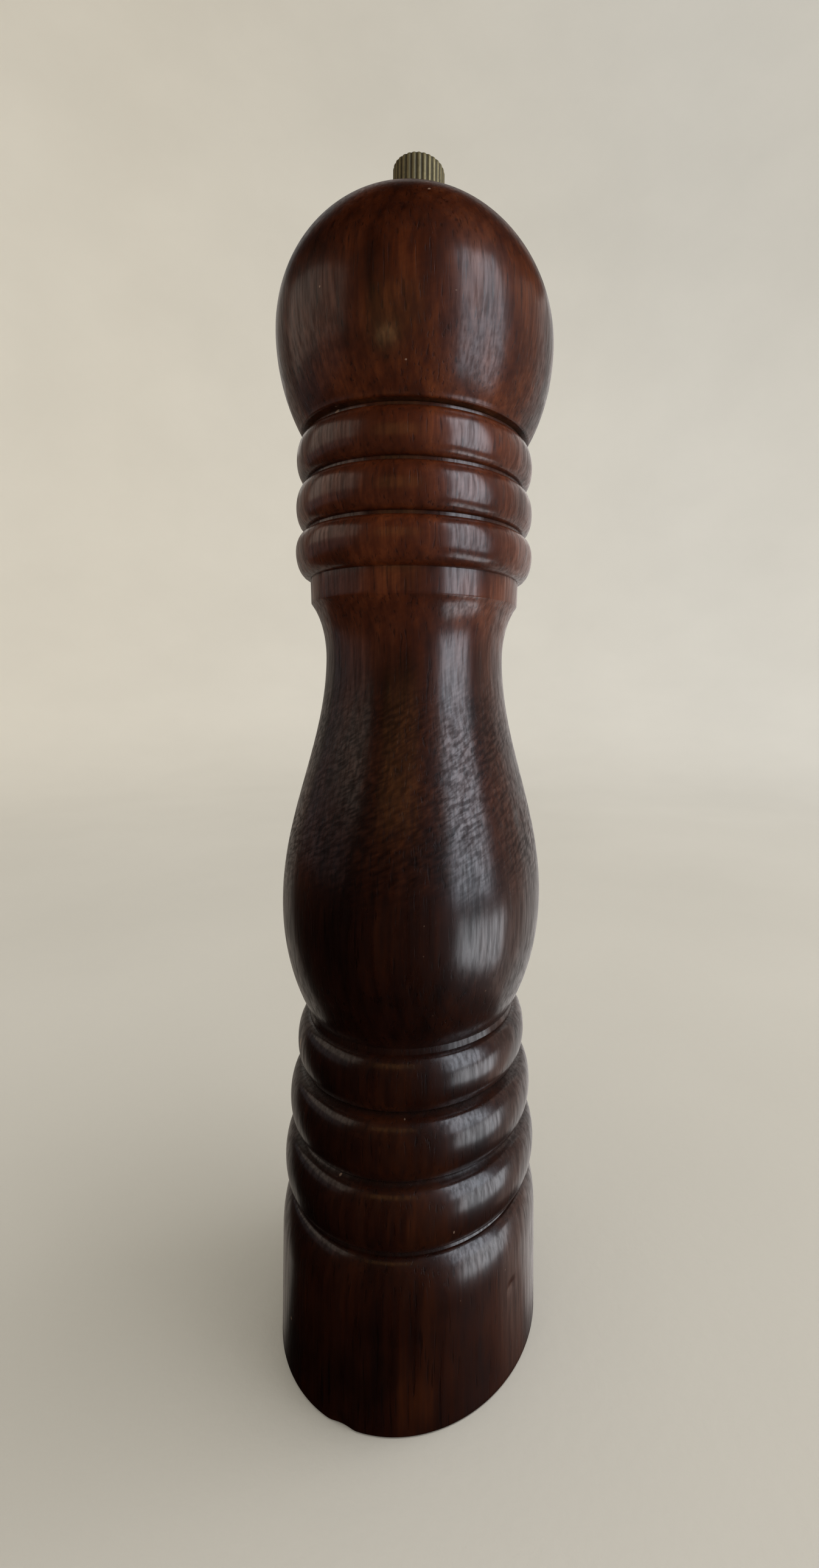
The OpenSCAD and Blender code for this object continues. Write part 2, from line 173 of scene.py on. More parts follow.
def grid_faces(rows, columns, closed_rows=False):
    """Quads between rows of points around an axis; the columns always close."""
    faces = []
    for i in range(rows if closed_rows else rows - 1):
        for j in range(columns):
            a, b = i * columns, (i + 1) % rows * columns
            k = (j + 1) % columns
            faces.append((a + j, a + k, b + k, b + j))
    return faces


def ring_points(rings, angle):
    """The points of rings around the Z axis, each given as (z, its radius at every angle)."""
    return [(r * math.cos(a), r * math.sin(a), z) for z, radii in rings for r, a in zip(radii, angle)]


def lathe(name, outline, columns, smooth_angle=35, change=None):
    """A closed ring of (r, z) points turned about Z. change(r, angle, z) may return another radius."""
    outline = np.array(outline)
    angle = 2 * math.pi * np.arange(columns) / columns
    r = np.repeat(outline[:, :1], columns, axis=1)
    z = np.repeat(outline[:, 1:], columns, axis=1)
    a = np.repeat(angle[None, :], len(outline), axis=0)
    if change is not None:
        r = change(r, a, z)
    verts = np.stack([r * np.cos(a), r * np.sin(a), z], axis=-1).reshape(-1, 3)
    return new_object(name, verts, grid_faces(len(outline), columns, closed_rows=True), smooth_angle)


def close_ends(piece, columns):
    """Fills the small end rings of a swept mesh and turns every face outwards."""
    mesh = bmesh.new()
    mesh.from_mesh(piece.data)
    mesh.verts.ensure_lookup_table()
    count = len(mesh.verts)
    mesh.faces.new([mesh.verts[i] for i in reversed(range(columns))])
    mesh.faces.new([mesh.verts[count - columns + i] for i in range(columns)])
    bmesh.ops.recalc_face_normals(mesh, faces=mesh.faces)
    mesh.to_mesh(piece.data)
    mesh.free()


def box_shape(half_x, half_y, low_z, high_z):
    """The corners and faces of a box centred on the Z axis."""
    corners = [(x, y, z) for x in (-half_x, half_x) for y in (-half_y, half_y) for z in (low_z, high_z)]
    faces = [(0, 1, 3, 2), (4, 6, 7, 5), (0, 4, 5, 1), (2, 3, 7, 6), (0, 2, 6, 4), (1, 5, 7, 3)]
    return corners, faces


# ---------------------------------------------------------------- outlines of turned pieces


def cad_outline(node, smallest_r, lowest_z):
    """The (r, z) points of a CAD node's outside, from the bottom up."""
    points = {}
    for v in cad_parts[node].data.vertices:
        r, z = math.hypot(v.co.x, v.co.y), v.co.z
        if z > lowest_z and r > smallest_r:
            points[(round(r / MM, 2), round(z / MM, 2))] = (r, z)
    return [points[key] for key in sorted(points, key=lambda p: (p[1], p[0]))]


def corner_angle(a, b, c):
    u, v = Vector((b[0] - a[0], b[1] - a[1])), Vector((c[0] - b[0], c[1] - b[1]))
    return abs(math.degrees(u.angle(v)))


def tangent(before, here, after, chord):
    """The outline's direction at a point, scaled for a stretch as long as the chord."""
    span = (after - here).length + (here - before).length
    return (after - before) * (chord / max(span, 1e-9))


def smoothed(points, spacing, corner=30):
    """The outline through the same points, rounded between its corners and with even, close spacing."""
    runs, run = [], [points[0]]
    for i in range(1, len(points)):
        run.append(points[i])
        if i < len(points) - 1 and corner_angle(points[i - 1], points[i], points[i + 1]) > corner:
            runs.append(run)
            run = [points[i]]
    runs.append(run)
    fine = [Vector((*points[0], 0))]
    for run in runs:
        p = [Vector((*q, 0)) for q in run]
        for i in range(len(p) - 1):
            before = p[i - 1] if i > 0 else p[i] * 2 - p[i + 1]
            after = p[i + 2] if i + 2 < len(p) else p[i + 1] * 2 - p[i]
            chord = (p[i + 1] - p[i]).length
            m0 = tangent(before, p[i], p[i + 1], chord)
            m1 = tangent(p[i], p[i + 1], after, chord)
            steps = max(1, round(chord / spacing))
            for k in range(1, steps + 1):
                t = k / steps
                fine.append(
                    p[i] * (2 * t**3 - 3 * t**2 + 1)
                    + m0 * (t**3 - 2 * t**2 + t)
                    + p[i + 1] * (3 * t**2 - 2 * t**3)
                    + m1 * (t**3 - t**2)
                )
    return [(v.x, v.y) for v in fine]


def relief(outline, reach=4 * MM):
    """How far each outline point stands out of (+) or lies back from (-) the outline around it, in mm."""
    points = np.array(outline)
    heights = []
    for point in points:
        near = np.abs(points[:, 1] - point[1]) < reach
        heights.append((point[0] - points[near, 0].mean()) / MM)
    return np.array(heights)


def store(piece, name, values):
    attribute = piece.data.attributes.new(name, "FLOAT", "POINT")
    attribute.data.foreach_set("value", np.asarray(values, np.float32).ravel())


# ---------------------------------------------------------------- the two turned pieces of wood

WOOD_COLUMNS = 224
OUTLINE_SPACING = 0.62 * MM
CHAMBER_R = 13.5 * MM
SEAT_R = 16.5 * MM
SEAT_TOP = 22 * MM
RECESS_R = 22 * MM
RECESS_DEPTH = 6 * MM
TURNED_EDGE = 0.8 * MM
FOOT_EDGE = 0.3 * MM

# Over NECK_FROM the body gets slimmer than its recess. Its outside stays wider than INSIDE_R there, and its
# bores are narrower
NECK_FROM = 100 * MM
INSIDE_R = 17.5 * MM
BORE_STEP = 6 * MM
BORE_STEPS = 27

# The head's outside is whatever lies over the joint and is wider than the spigot, and over CROWN_FROM
# whatever is wider than the washer's seat
SPIGOT_CLEAR_R = 14 * MM
CROWN_FROM = 230 * MM
CROWN_R = 6 * MM
SPIGOT_STEP = 2 * MM

# The shallow chip in the rim at the front left, as (angle, height, radius, depth)
RIM_CHIP = (math.radians(243), 0.0, 2.8 * MM, 0.36 * MM)


def dents(count, lows, highs, seed):
    """Small knocks in the wood, as (angle, height, radius, depth)."""
    rng = random.Random(seed)
    return [
        (
            rng.uniform(0, 2 * math.pi),
            rng.uniform(lows, highs),
            rng.uniform(0.6, 1.9) * MM,
            rng.uniform(0.05, 0.22) * MM,
        )
        for _ in range(count)
    ]


def knocked(marks):
    """A change for lathe() that presses the dents in and leaves the faint unevenness of hand sanding."""

    def change(r, a, z):
        outside = r > CHAMBER_R * 1.05
        sanding = 0.035 * MM * np.sin(2 * a + 37 * z) + 0.02 * MM * np.sin(3 * a - 90 * z + 1.3)
        moved = r + np.where(outside, sanding, 0)
        for angle, height, radius, depth in marks:
            across = r * ((a - angle + math.pi) % (2 * math.pi) - math.pi)
            near = 1 - (across**2 + (z - height) ** 2) / radius**2
            moved = moved - np.where(outside & (near > 0), depth * np.clip(near, 0, 1) ** 1.5, 0)
        return moved

    return change


def add_relief(piece, outline, outside_count):
    """Marks how deep in a groove or how far out on a crest each point of the wood is."""
    values = np.zeros(len(outline))
    values[:outside_count] = relief(outline[:outside_count])
    store(piece, "relief", np.repeat(values, WOOD_COLUMNS))
    shown = np.zeros(len(outline))
    shown[:outside_count] = 1
    store(piece, "outside", np.repeat(shown, WOOD_COLUMNS))


def make_body():
    wide = smoothed(cad_outline("body", RECESS_R + 0.1 * MM, -1), OUTLINE_SPACING)
    neck = smoothed(cad_outline("body", INSIDE_R, RECESS_DEPTH + 0.2 * MM), OUTLINE_SPACING)
    outside = [p for p in wide if p[1] < NECK_FROM] + [p for p in neck if p[1] >= NECK_FROM]
    top = outside[-1][1]
    inside = [
        (CHAMBER_R + TURNED_EDGE, top),
        (CHAMBER_R, top - TURNED_EDGE),
        *[(CHAMBER_R, top - TURNED_EDGE - step * BORE_STEP) for step in range(1, BORE_STEPS + 1)],
        (CHAMBER_R, SEAT_TOP),
        (SEAT_R, SEAT_TOP),
        (SEAT_R, RECESS_DEPTH),
        (RECESS_R, RECESS_DEPTH),
        (RECESS_R, FOOT_EDGE),
        (RECESS_R + FOOT_EDGE, 0),
    ]
    outline = outside + inside
    marks = dents(16, 1 * MM, top - 2 * MM, seed=4)
    piece = lathe("turned_body", outline, WOOD_COLUMNS, change=knocked([*marks, RIM_CHIP]))
    add_relief(piece, outline, len(outside))
    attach(piece, "body")
    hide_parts("body")
    return piece


def on_dome(point, bottom):
    """Whether a point of the head's CAD lies on its outside, from the joint with the body up."""
    r, z = point
    return z > bottom and r > SPIGOT_CLEAR_R or z > CROWN_FROM and r > CROWN_R


def make_head():
    low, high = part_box("head")
    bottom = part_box("body")[1].z
    whole = cad_outline("head", 0, -1)
    outside = smoothed([p for p in whole if on_dome(p, bottom)], OUTLINE_SPACING)
    spigot_r = max(p[0] for p in whole if p[1] < bottom)
    washer_r, bore_r = 5.2 * MM, 3.8 * MM
    washer_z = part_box("finial_washer")[0].z
    inside = [
        (washer_r, high.z),
        (washer_r, washer_z),
        (bore_r, washer_z),
        (bore_r, low.z),
        (spigot_r - TURNED_EDGE, low.z),
        (spigot_r, low.z + TURNED_EDGE),
        *[(spigot_r, low.z + TURNED_EDGE + SPIGOT_STEP * step) for step in range(1, 7)],
        (spigot_r, outside[0][1]),
    ]
    outline = outside + inside
    piece = lathe("turned_head", outline, WOOD_COLUMNS, change=knocked(dents(6, bottom, high.z, seed=11)))
    add_relief(piece, outline, len(outside))
    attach(piece, "head")
    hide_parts("head")
    return piece


# ---------------------------------------------------------------- the finial nut

RIBS = 30
RIB_DEPTH = 0.22 * MM
NUT_COLUMNS = RIBS * 12


def valley_at(angle):
    """0 on the crest of a rib of the knurling and 1 at the bottom between two."""
    return np.abs(np.cos(RIBS * angle / 2)) ** 3


def make_finial():
    low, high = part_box("finial_nut")
    r = high.x
    bore_r, bore_top = 2.58 * MM, high.z - 2.0 * MM
    # The lathe has left shallow rings on the top
    top_rings = [(q * MM, high.z - 0.03 * MM * (q % 0.8 < 0.4)) for q in np.arange(4.4, 0.2, -0.4)]
    side = [(r, z) for z in np.linspace(low.z + 0.7 * MM, high.z - 0.9 * MM, 14)]
    outline = [
        (r - 0.7 * MM, low.z),
        (r - 0.35 * MM, low.z + 0.32 * MM),
        *side,
        (r - 0.10 * MM, high.z - 0.55 * MM),
        (r - 0.35 * MM, high.z - 0.25 * MM),
        (r - 0.70 * MM, high.z - 0.08 * MM),
        (r - 1.1 * MM, high.z),
        *top_rings,
        (PINPOINT_R, high.z),
        (PINPOINT_R, bore_top),
        (bore_r, bore_top),
        (bore_r, low.z + 1.0 * MM),
        (bore_r + 1.0 * MM, low.z),
    ]

    def knurl(radius, a, z):
        on_side = np.clip((radius - (r - 1.0 * MM)) / (0.8 * MM), 0, 1)
        return radius - RIB_DEPTH * on_side * valley_at(a)

    piece = lathe("knurled_finial", outline, NUT_COLUMNS, smooth_angle=50, change=knurl)
    angle = 2 * math.pi * np.arange(NUT_COLUMNS) / NUT_COLUMNS
    store(piece, "valley", np.tile(valley_at(angle), len(outline)))
    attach(piece, "finial")
    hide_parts("finial_nut")
    return piece


# ---------------------------------------------------------------- shaft, spring and screws

THREAD_PITCH = 0.8 * MM
THREAD_LENGTH = 13 * MM
THREAD_DEPTH = 0.55 * MM
CLIP_GROOVE_DROP = 1.5 * MM
CLIP_GROOVE_WIDTH = 0.7 * MM


def square_radius(a, half, corner):
    """Distance from the axis to a square bar with rounded edges, at each angle."""
    b = np.abs((a + math.pi / 4) % (math.pi / 2) - math.pi / 4)
    centre = half - corner
    flat = half / np.cos(b)
    along = centre * (np.cos(b) + np.sin(b))
    round_edge = along + np.sqrt(np.maximum(corner**2 - 2 * centre**2 + along**2, 0))
    return np.where(half * np.tan(b) <= centre, flat, round_edge)


def make_shaft():
    low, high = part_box("drive_shaft")
    half = high.x
    square_from, square_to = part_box("male_burr")[0].z, high.z - THREAD_LENGTH
    thread_r, pilot_r, groove_r = 2.5 * MM, 2.0 * MM, 1.65 * MM
    clip_low = square_from - CLIP_GROOVE_DROP
    clip_high = clip_low + CLIP_GROOVE_WIDTH
    columns = 96
    angle = 2 * math.pi * np.arange(columns) / columns
    rows = []

    def ring(z, radius):
        rows.append((z, np.broadcast_to(radius, columns)))

    ring(low.z, PINPOINT_R)
    ring(low.z, pilot_r - 0.4 * MM)
    ring(low.z + 0.4 * MM, pilot_r)
    ring(clip_low, pilot_r)
    ring(clip_low, groove_r)
    ring(clip_high, groove_r)
    ring(clip_high, pilot_r)
    ring(square_from, pilot_r)
    bar = square_radius(angle, half, 0.35 * MM)
    ring(square_from, bar * 0.94)
    ring(square_from + 0.2 * MM, bar)
    for z in np.linspace(square_from + 8 * MM, square_to - 8 * MM, 24):
        ring(z, bar)
    ring(square_to - 0.25 * MM, bar)
    ring(square_to, np.minimum(bar, half * 1.12))
    core = thread_r - THREAD_DEPTH
    ring(square_to, core)
    for z in np.arange(square_to + 0.1 * MM, high.z - 0.05 * MM, THREAD_PITCH / 10):
        turn = (angle / (2 * math.pi) - (z / THREAD_PITCH)) % 1
        height = np.clip(1.25 - 2.5 * np.abs(turn - 0.5), 0, 1)
        ends = min(1, (z - square_to) / (0.8 * MM), (high.z - z) / (0.6 * MM))
        ring(z, core + (thread_r - core) * height * max(ends, 0))
    ring(high.z, core - 0.2 * MM)
    ring(high.z, PINPOINT_R)
    piece = new_object("threaded_shaft", ring_points(rows, angle), grid_faces(len(rows), columns), 35)
    close_ends(piece, columns)
    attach(piece, "shaft")
    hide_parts("drive_shaft")
    return piece


SPRING_TURNS = 6
SPRING_WIRE = 0.9 * MM
# Each end closes up over CLOSED_TURNS of a turn, and rises by CLOSED_RISE there
CLOSED_TURNS = 0.9
CLOSED_RISE = SPRING_WIRE * 0.918


def make_spring():
    low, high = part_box("spring")
    mean_r = high.x - SPRING_WIRE / 2
    rise = high.z - low.z - SPRING_WIRE
    closed = CLOSED_TURNS / SPRING_TURNS
    rings, sides = SPRING_TURNS * 40, 14
    verts = []
    for k in range(rings + 1):
        t = k / rings
        middle = min(1.0, max(0.0, (t - closed) / (1 - 2 * closed)))
        z = CLOSED_RISE * (min(1.0, t / closed) + max(0.0, (t - 1 + closed) / closed))
        z += (rise - 2 * CLOSED_RISE) * middle + low.z + SPRING_WIRE / 2
        turn = 2 * math.pi * SPRING_TURNS * t
        for j in range(sides):
            a = 2 * math.pi * j / sides
            r = mean_r + SPRING_WIRE / 2 * math.cos(a)
            height = z + SPRING_WIRE / 2 * math.sin(a)
            height = min(max(height, low.z), high.z)
            verts.append((r * math.cos(turn), r * math.sin(turn), height))
    piece = new_object("coil_spring", verts, grid_faces(rings + 1, sides), 60)
    close_ends(piece, sides)
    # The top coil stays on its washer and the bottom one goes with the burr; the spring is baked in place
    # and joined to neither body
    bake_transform(piece)
    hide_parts("spring")
    return piece


# Rings on a screw's round head, from its face up, as shares of its height under the seat and of its radius
HEAD_CURVE = ((1.0, 0.45), (0.93, 0.66), (0.76, 0.86), (0.52, 0.98), (0.3, 1.0), (0.06, 1.0), (0.0, 0.97))
SCREW_PITCH = 1.1 * MM
SCREW_COLUMNS = 48


def screw_rings(angle, shank_r, shank_len, head_r, head_h):
    """A wood screw's head and its tapered, threaded shank, as rings from the head's face up to the tip."""
    rows = [(-head_h, PINPOINT_R)]
    rows += [(-head_h * down, head_r * wide) for down, wide in HEAD_CURVE]
    rows += [(0, shank_r * 0.95)]
    rings = [(z, np.full(SCREW_COLUMNS, r)) for z, r in rows]
    tip = shank_len + 2 * shank_r
    for z in np.arange(0.3 * MM, tip, SCREW_PITCH / 8):
        taper = min(1.0, (tip - z) / (2.4 * shank_r))
        turn = (angle / (2 * math.pi) - z / SCREW_PITCH) % 1
        crest = np.clip(1 - 3.2 * np.abs(turn - 0.5), 0, 1) * min(1.0, max(0.0, (z - 1.5 * MM) / MM))
        rings.append((z, taper * shank_r * (0.70 + 0.25 * crest)))
    rings.append((tip, np.full(SCREW_COLUMNS, PINPOINT_R)))
    return rings


def slotted_screw(name, shank_r, shank_len, head_r, head_h, slot_w, slot_turn):
    """The mesh of one screw that points up, with its head's seat at the origin and a slot in its face."""
    angle = 2 * math.pi * np.arange(SCREW_COLUMNS) / SCREW_COLUMNS
    rings = screw_rings(angle, shank_r, shank_len, head_r, head_h)
    screw = new_object(name, ring_points(rings, angle), grid_faces(len(rings), SCREW_COLUMNS), 40)
    close_ends(screw, SCREW_COLUMNS)
    slot = new_object(name + ".slot", *box_shape(head_r * 1.2, slot_w / 2, -head_h * 1.2, -head_h * 0.55))
    slot.rotation_euler = (0, 0, slot_turn)
    cut = screw.modifiers.new("slot", "BOOLEAN")
    cut.operation = "DIFFERENCE"
    cut.solver = "EXACT"
    cut.object = slot
    bpy.context.view_layer.update()
    done = bpy.data.meshes.new_from_object(screw.evaluated_get(bpy.context.evaluated_depsgraph_get()))
    bpy.data.objects.remove(slot)
    bpy.data.objects.remove(screw)
    return done


def screw_piece(name, places, base_z, **sizes):
    """A screw at each of the places, joined into one piece."""
    whole = bmesh.new()
    for x, y in places:
        screw = slotted_screw(name, **sizes)
        screw.transform(Matrix.Translation((x, y, base_z)))
        whole.from_mesh(screw)
    mesh = bpy.data.meshes.new(name)
    whole.to_mesh(mesh)
    whole.free()
    mesh.shade_smooth()
    mesh.set_sharp_from_angle(angle=math.radians(38))
    piece = bpy.data.objects.new(name, mesh)
    bpy.context.scene.collection.objects.link(piece)
    return piece


def make_crossbar_screws():
    at = 19.2 * MM
    piece = screw_piece(
        "slotted_crossbar_screws", [(at, 0), (-at, 0)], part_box("crossbar")[0].z,
        shank_r=1.5 * MM, shank_len=12 * MM, head_r=2.7 * MM, head_h=2.0 * MM,
        slot_w=0.8 * MM, slot_turn=math.radians(35),
    )
    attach(piece, "body")
    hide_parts("crossbar_screws")
    return piece


def make_plate_screws():
    at = 8.5 * MM
    plate = screw_piece(
        "slotted_plate_screws", [(0, at), (0, -at)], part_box("drive_plate")[0].z,
        shank_r=1.2 * MM, shank_len=9 * MM, head_r=2.3 * MM, head_h=1.5 * MM,
        slot_w=0.6 * MM, slot_turn=math.radians(70),
    )
    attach(plate, "head")
    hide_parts("drive_plate_screws")
    return plate


# ---------------------------------------------------------------- materials


class Material:
    """A node material written as short calls."""

    def __init__(self, name):
        self.material = bpy.data.materials.new(name)
        self.material.use_nodes = True
        self.tree = self.material.node_tree
        self.shader = self.tree.nodes["Principled BSDF"]
        self.coordinates = self.tree.nodes.new("ShaderNodeTexCoord").outputs["Object"]

    def set(self, **values):
        for key, value in values.items():
            socket = self.shader.inputs[key.replace("_", " ").title().replace("Ior", "IOR")]
            if isinstance(value, bpy.types.NodeSocket):
                self.tree.links.new(value, socket)
            else:
                socket.default_value = value if not isinstance(value, tuple) else (*value, 1.0)[:4]

    def node(self, kind, values=(), **settings):
        made = self.tree.nodes.new(kind)
        for key, value in settings.items():
            setattr(made, key, value)
        for key, value in dict(values).items():
            if isinstance(value, bpy.types.NodeSocket):
                self.tree.links.new(value, made.inputs[key])
            else:
                made.inputs[key].default_value = value
        return made

    def math(self, operation, a, b=0.5, c=0.5, clamp=False):
        made = self.node("ShaderNodeMath", {0: a, 1: b, 2: c}, operation=operation, use_clamp=clamp)
        return made.outputs[0]

    def noise(self, scale, detail=3.0, roughness=0.55, stretch=(1, 1, 1), distortion=0.0):
        vector = self.node("ShaderNodeMapping", {"Vector": self.coordinates, "Scale": stretch}).outputs[0]
        values = {"Vector": vector, "Scale": scale, "Detail": detail, "Roughness": roughness}
        return self.node("ShaderNodeTexNoise", {**values, "Distortion": distortion}).outputs["Fac"]

    def ramp(self, value, stops):
        made = self.node("ShaderNodeValToRGB", {"Fac": value})
        elements = made.color_ramp.elements
        while len(elements) < len(stops):
            elements.new(0.5)
        for element, (position, colour) in zip(elements, stops):
            element.position = position
            element.color = (*colour, 1.0) if isinstance(colour, tuple) else (colour, colour, colour, 1.0)
        return made.outputs["Color"]

    def mix(self, share, a, b, blend="MIX"):
        made = self.tree.nodes.new("ShaderNodeMix")
        made.data_type = "RGBA"
        made.blend_type = blend
        for index, value in ((0, share), (6, a), (7, b)):
            if isinstance(value, bpy.types.NodeSocket):
                self.tree.links.new(value, made.inputs[index])
            elif isinstance(value, tuple):
                made.inputs[index].default_value = (*value, 1.0)
            else:
                made.inputs[index].default_value = value
        return made.outputs[2]

    def attribute(self, name):
        return self.node("ShaderNodeAttribute", attribute_name=name).outputs["Fac"]

    def axis_distance(self, x, y):
        squares = self.math("ADD", self.math("MULTIPLY", x, x), self.math("MULTIPLY", y, y))
        return self.math("SQRT", squares)

    def bump(self, *layers):
        """layers are (height, distance in metres), lowest first."""
        normal = None
        for height, distance in layers:
            values = {"Height": height, "Distance": distance, "Strength": 1.0}
            if normal is not None:
                values["Normal"] = normal
            normal = self.node("ShaderNodeBump", values).outputs["Normal"]
        self.tree.links.new(normal, self.shader.inputs["Normal"])


STAIN_SPAN = 250 * MM
PITH_X, PITH_Y = -47 * MM, 31 * MM
RING_SPACING = 2.7 * MM


def late_wood(m, place):
    """Growth rings around a pith outside the blank, which the turning cuts into long bands."""
    wander = m.noise(9.0, 2.0, 0.5, (1, 1, 0.35))
    x = m.math("ADD", place.outputs["X"], -PITH_X)
    y = m.math("ADD", place.outputs["Y"], -PITH_Y)
    far = m.math("ADD", m.axis_distance(x, y), m.math("MULTIPLY", wander, 0.016))
    rings = m.math("FRACT", m.math("MULTIPLY", far, 1 / RING_SPACING))
    return m.ramp(rings, [(0.0, 0.15), (0.55, 0.35), (0.86, 1.0), (1.0, 0.1)])


def curly_figure(m, place, up):
    """Short slanted flecks across the grain, and how strong they are: most on the upper belly and neck."""
    turn = m.math("ARCTAN2", place.outputs["X"], m.math("MULTIPLY", place.outputs["Y"], -1.0))
    z = place.outputs["Z"]
    round_it = m.math("MULTIPLY", turn, 24 * MM)
    along = m.math("ADD", m.math("MULTIPLY", round_it, 0.30), m.math("MULTIPLY", z, 0.17))
    slant = m.math("ADD", m.math("MULTIPLY", round_it, -0.50), m.math("MULTIPLY", z, 0.86))
    fleck_at = m.node("ShaderNodeCombineXYZ", {"X": along, "Y": slant, "Z": 0.0}).outputs[0]
    fine = {"Vector": fleck_at, "Scale": 1300.0, "Detail": 2.0}
    flecks = m.node("ShaderNodeTexNoise", fine).outputs["Fac"]
    strength = m.ramp(up, [(0.36, 0.0), (0.41, 1.0), (0.50, 0.9), (0.55, 0.25), (0.64, 0.15)])
    strength = m.math("MULTIPLY", strength, m.ramp(m.noise(60.0, 2.0), [(0.35, 0.35), (0.6, 1.0)]))
    return flecks, strength


def wood(name, light, dark, deep, gloss):
    """Stained, lacquered hardwood with its grain along Z. gloss is how much of the lacquer is left."""
    m = Material(name)
    place = m.node("ShaderNodeSeparateXYZ", {"Vector": m.coordinates})
    up = m.math("MULTIPLY", place.outputs["Z"], 1 / STAIN_SPAN)
    outside = m.attribute("outside")
    relief_here = m.attribute("relief")
    # How deep in a groove each point lies; it paints shade into the colour of the grooves and makes the
    # lacquer rougher there
    groove = m.ramp(m.math("MULTIPLY", relief_here, -0.5), [(0.35, 0.0), (0.9, 1.0)])
    fibres = m.noise(1500.0, 3.0, 0.6, (1, 1, 0.06))
    streaks = m.noise(520.0, 3.0, 0.6, (1, 1, 0.08), distortion=0.3)
    pores = m.ramp(m.noise(1900.0, 2.0, 0.5, (1, 1, 0.07)), [(0.60, 0.0), (0.68, 1.0)])
    blotches = m.noise(62.0, 4.0, 0.6, (1, 1, 0.6))
    flecks, curly = curly_figure(m, place, up)

    tone = m.math("ADD", m.math("MULTIPLY", streaks, 0.34), m.math("MULTIPLY", blotches, 0.90))
    tone = m.math("SUBTRACT", tone, 0.13)
    tone = m.math("ADD", tone, m.math("MULTIPLY", late_wood(m, place), -0.06))
    figure = m.math("MULTIPLY", m.math("SUBTRACT", flecks, 0.5), m.math("MULTIPLY", curly, 0.8))
    tone = m.math("ADD", tone, figure)
    colour = m.ramp(tone, [(0.30, deep), (0.48, dark), (0.66, light)])
    colour = m.mix(m.ramp(fibres, [(0.35, 0.45), (0.65, 0.0)]), colour, deep)
    colour = m.mix(m.math("MULTIPLY", pores, 0.5), colour, tuple(c * 0.25 for c in deep))
    # The stain is worn lighter in places on the crests
    crest = m.math("MULTIPLY", m.ramp(relief_here, [(0.35, 0.0), (0.9, 1.0)]), m.noise(220.0, 4.0, 0.7))
    colour = m.mix(m.ramp(crest, [(0.54, 0.0), (0.66, 0.4)]), colour, tuple(min(1, c * 1.5) for c in light))
    # It is nearly black up to the belly, lightest over the collar and upper beads, and darker on the dome
    by_height = [(0.0, 0.27), (0.20, 0.24), (0.36, 0.25), (0.55, 0.46)]
    by_height += [(0.62, 1.0), (0.74, 1.0), (0.80, 0.78)]
    colour = m.mix(1.0, colour, m.ramp(up, by_height), "MULTIPLY")
    # The grooves are painted almost black: painted shade in the creases, with stain gathered there
    colour = m.mix(m.math("MULTIPLY", groove, 0.6), colour, (0.006, 0.0030, 0.0018))
    # A few small nicks go through it
    nicks = m.ramp(m.noise(410.0, 1.0, 0.5), [(0.80, 0.0), (0.82, 0.7)])
    colour = m.mix(nicks, colour, (0.20, 0.13, 0.09))
    # The inside is bare
    bare = m.ramp(tone, [(0.3, (0.16, 0.085, 0.045)), (0.7, (0.30, 0.18, 0.10))])
    colour = m.mix(outside, bare, colour)

    inside = m.math("SUBTRACT", 1.0, outside)
    roughness = m.ramp(fibres, [(0.3, 0.52), (0.7, 0.34)])
    roughness = m.math("ADD", roughness, m.math("MULTIPLY", groove, 0.2), clamp=True)
    roughness = m.math("ADD", roughness, m.math("MULTIPLY", inside, 0.35), clamp=True)
    m.set(base_color=colour, roughness=roughness, specular_ior_level=0.10)
    lacquer = m.math("MULTIPLY", m.ramp(fibres, [(0.36, 0.45), (0.60, 1.0)]), outside)
    dull = m.math("MULTIPLY", curly, m.ramp(flecks, [(0.42, 0.75), (0.58, 0.0)]))
    lacquer = m.math("MULTIPLY", lacquer, m.math("SUBTRACT", 1.0, dull))
    lacquer = m.math("MULTIPLY", lacquer, m.ramp(blotches, [(0.38, 0.88 * gloss), (0.56, gloss)]))
    m.set(coat_weight=lacquer, coat_roughness=0.21, coat_ior=1.5)
    m.bump(
        (blotches, 0.10 * MM),
        (m.math("MULTIPLY", flecks, curly), 0.10 * MM),
        (fibres, 0.035 * MM),
        (m.math("MULTIPLY", pores, -1.0), 0.03 * MM),
    )
    return m.material


def metal(name, bright, dull, roughness, stretch=(1, 1, 1), tarnish=0.5):
    """Worked metal with fine marks along one direction and patches of dull film."""
    m = Material(name)
    patches = m.noise(180.0, 5.0, 0.65)
    marks = m.noise(1400.0, 2.0, 0.5, stretch)
    share = m.ramp(patches, [(0.5 - 0.25 * tarnish, 1.0), (0.5 + 0.3 * tarnish, 0.0)])
    colour = m.mix(share, bright, dull)
    colour = m.mix(m.ramp(marks, [(0.3, 0.22), (0.6, 0.0)]), colour, dull)
    rough = m.ramp(marks, [(0.25, min(1, roughness + 0.12)), (0.75, max(0.05, roughness - 0.08))])
    rough = m.math("ADD", rough, m.math("MULTIPLY", share, 0.10), clamp=True)
    m.set(base_color=colour, metallic=1.0, roughness=rough)
    m.bump((patches, 0.02 * MM), (marks, 0.006 * MM))
    return m.material


